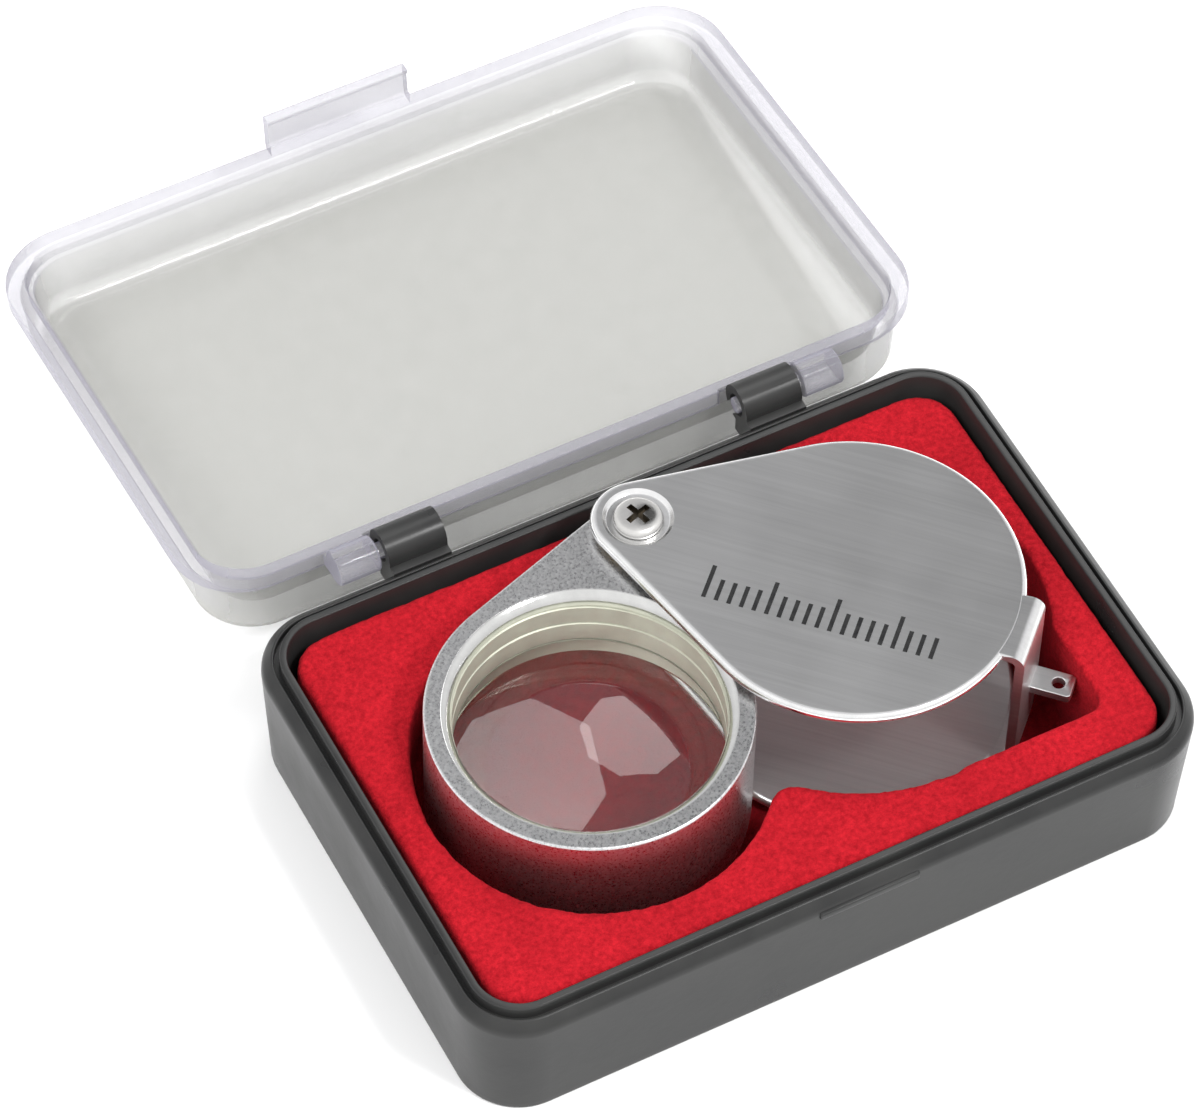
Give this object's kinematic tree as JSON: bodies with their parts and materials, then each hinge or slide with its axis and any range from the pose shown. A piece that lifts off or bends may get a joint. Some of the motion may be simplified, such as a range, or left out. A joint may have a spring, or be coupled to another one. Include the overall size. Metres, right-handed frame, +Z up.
{
  "type": "folding pocket loupe in case",
  "caption": "Folding hand lens with a folded steel cover and swing-out lens housing, lying in a foam-lined hinged pocket case with a clear lid.",
  "frame": {"origin": "centre of the case base's underside, on the surface it lies on", "axes": "+X along the case's long side, +Y towards the lid hinge and the open lid, +Z up out of the tray"},
  "size_m": [0.065, 0.0901, 0.0179],
  "materials": {
    "black_case": "black moulded plastic, satin gloss",
    "clear_lid": "clear moulded polystyrene",
    "red_flock": "bright red flocking on foam",
    "brushed_cover": "brushed along its length, edges polished",
    "screw_steel": "bright nickel",
    "washer_bronze": "plain phosphor bronze",
    "satin_housing": "satin turned",
    "lens_glass": "polished optical glass",
    "spacer_alloy": "plain turned aluminium",
    "mark_ink": "black printed scale ticks on the cover",
    "polished_ring": "polished"
  },
  "bodies": {
    "case": {"case_base": "black_case", "foam_insert": "red_flock"},
    "lid": {"case_lid": "clear_lid"},
    "loupe_cover": {"cover": "brushed_cover", "pivot_sleeve": "screw_steel", "pivot_screw_top": "screw_steel", "pivot_screw_bottom": "screw_steel", "washer_top": "washer_bronze", "washer_bottom": "washer_bronze"},
    "lens_holder": {"lens_housing": "satin_housing", "lens_top": "lens_glass", "lens_bottom": "lens_glass", "lens_spacer": "spacer_alloy", "retaining_ring_top": "polished_ring", "retaining_ring_bottom": "polished_ring"}
  },
  "joints": [
    {"name": "lid_hinge", "type": "hinge", "parent": "case", "child": "lid", "pos_m": [0, 0.02305, 0.0122], "axis": [1, 0, 0], "range_deg": [0, 186]},
    {"name": "loupe_lift", "type": "slide", "parent": "case", "child": "loupe_cover", "axis": [0, 0, 1], "range_m": [0, 0.032]},
    {"name": "lens_swing", "type": "hinge", "parent": "loupe_cover", "child": "lens_holder", "pos_m": [-0.00076, 0.01345, 0.01], "axis": [0, 0, 1], "range_deg": [0, 84.06], "deforming": ["foam_insert"]}
  ]
}
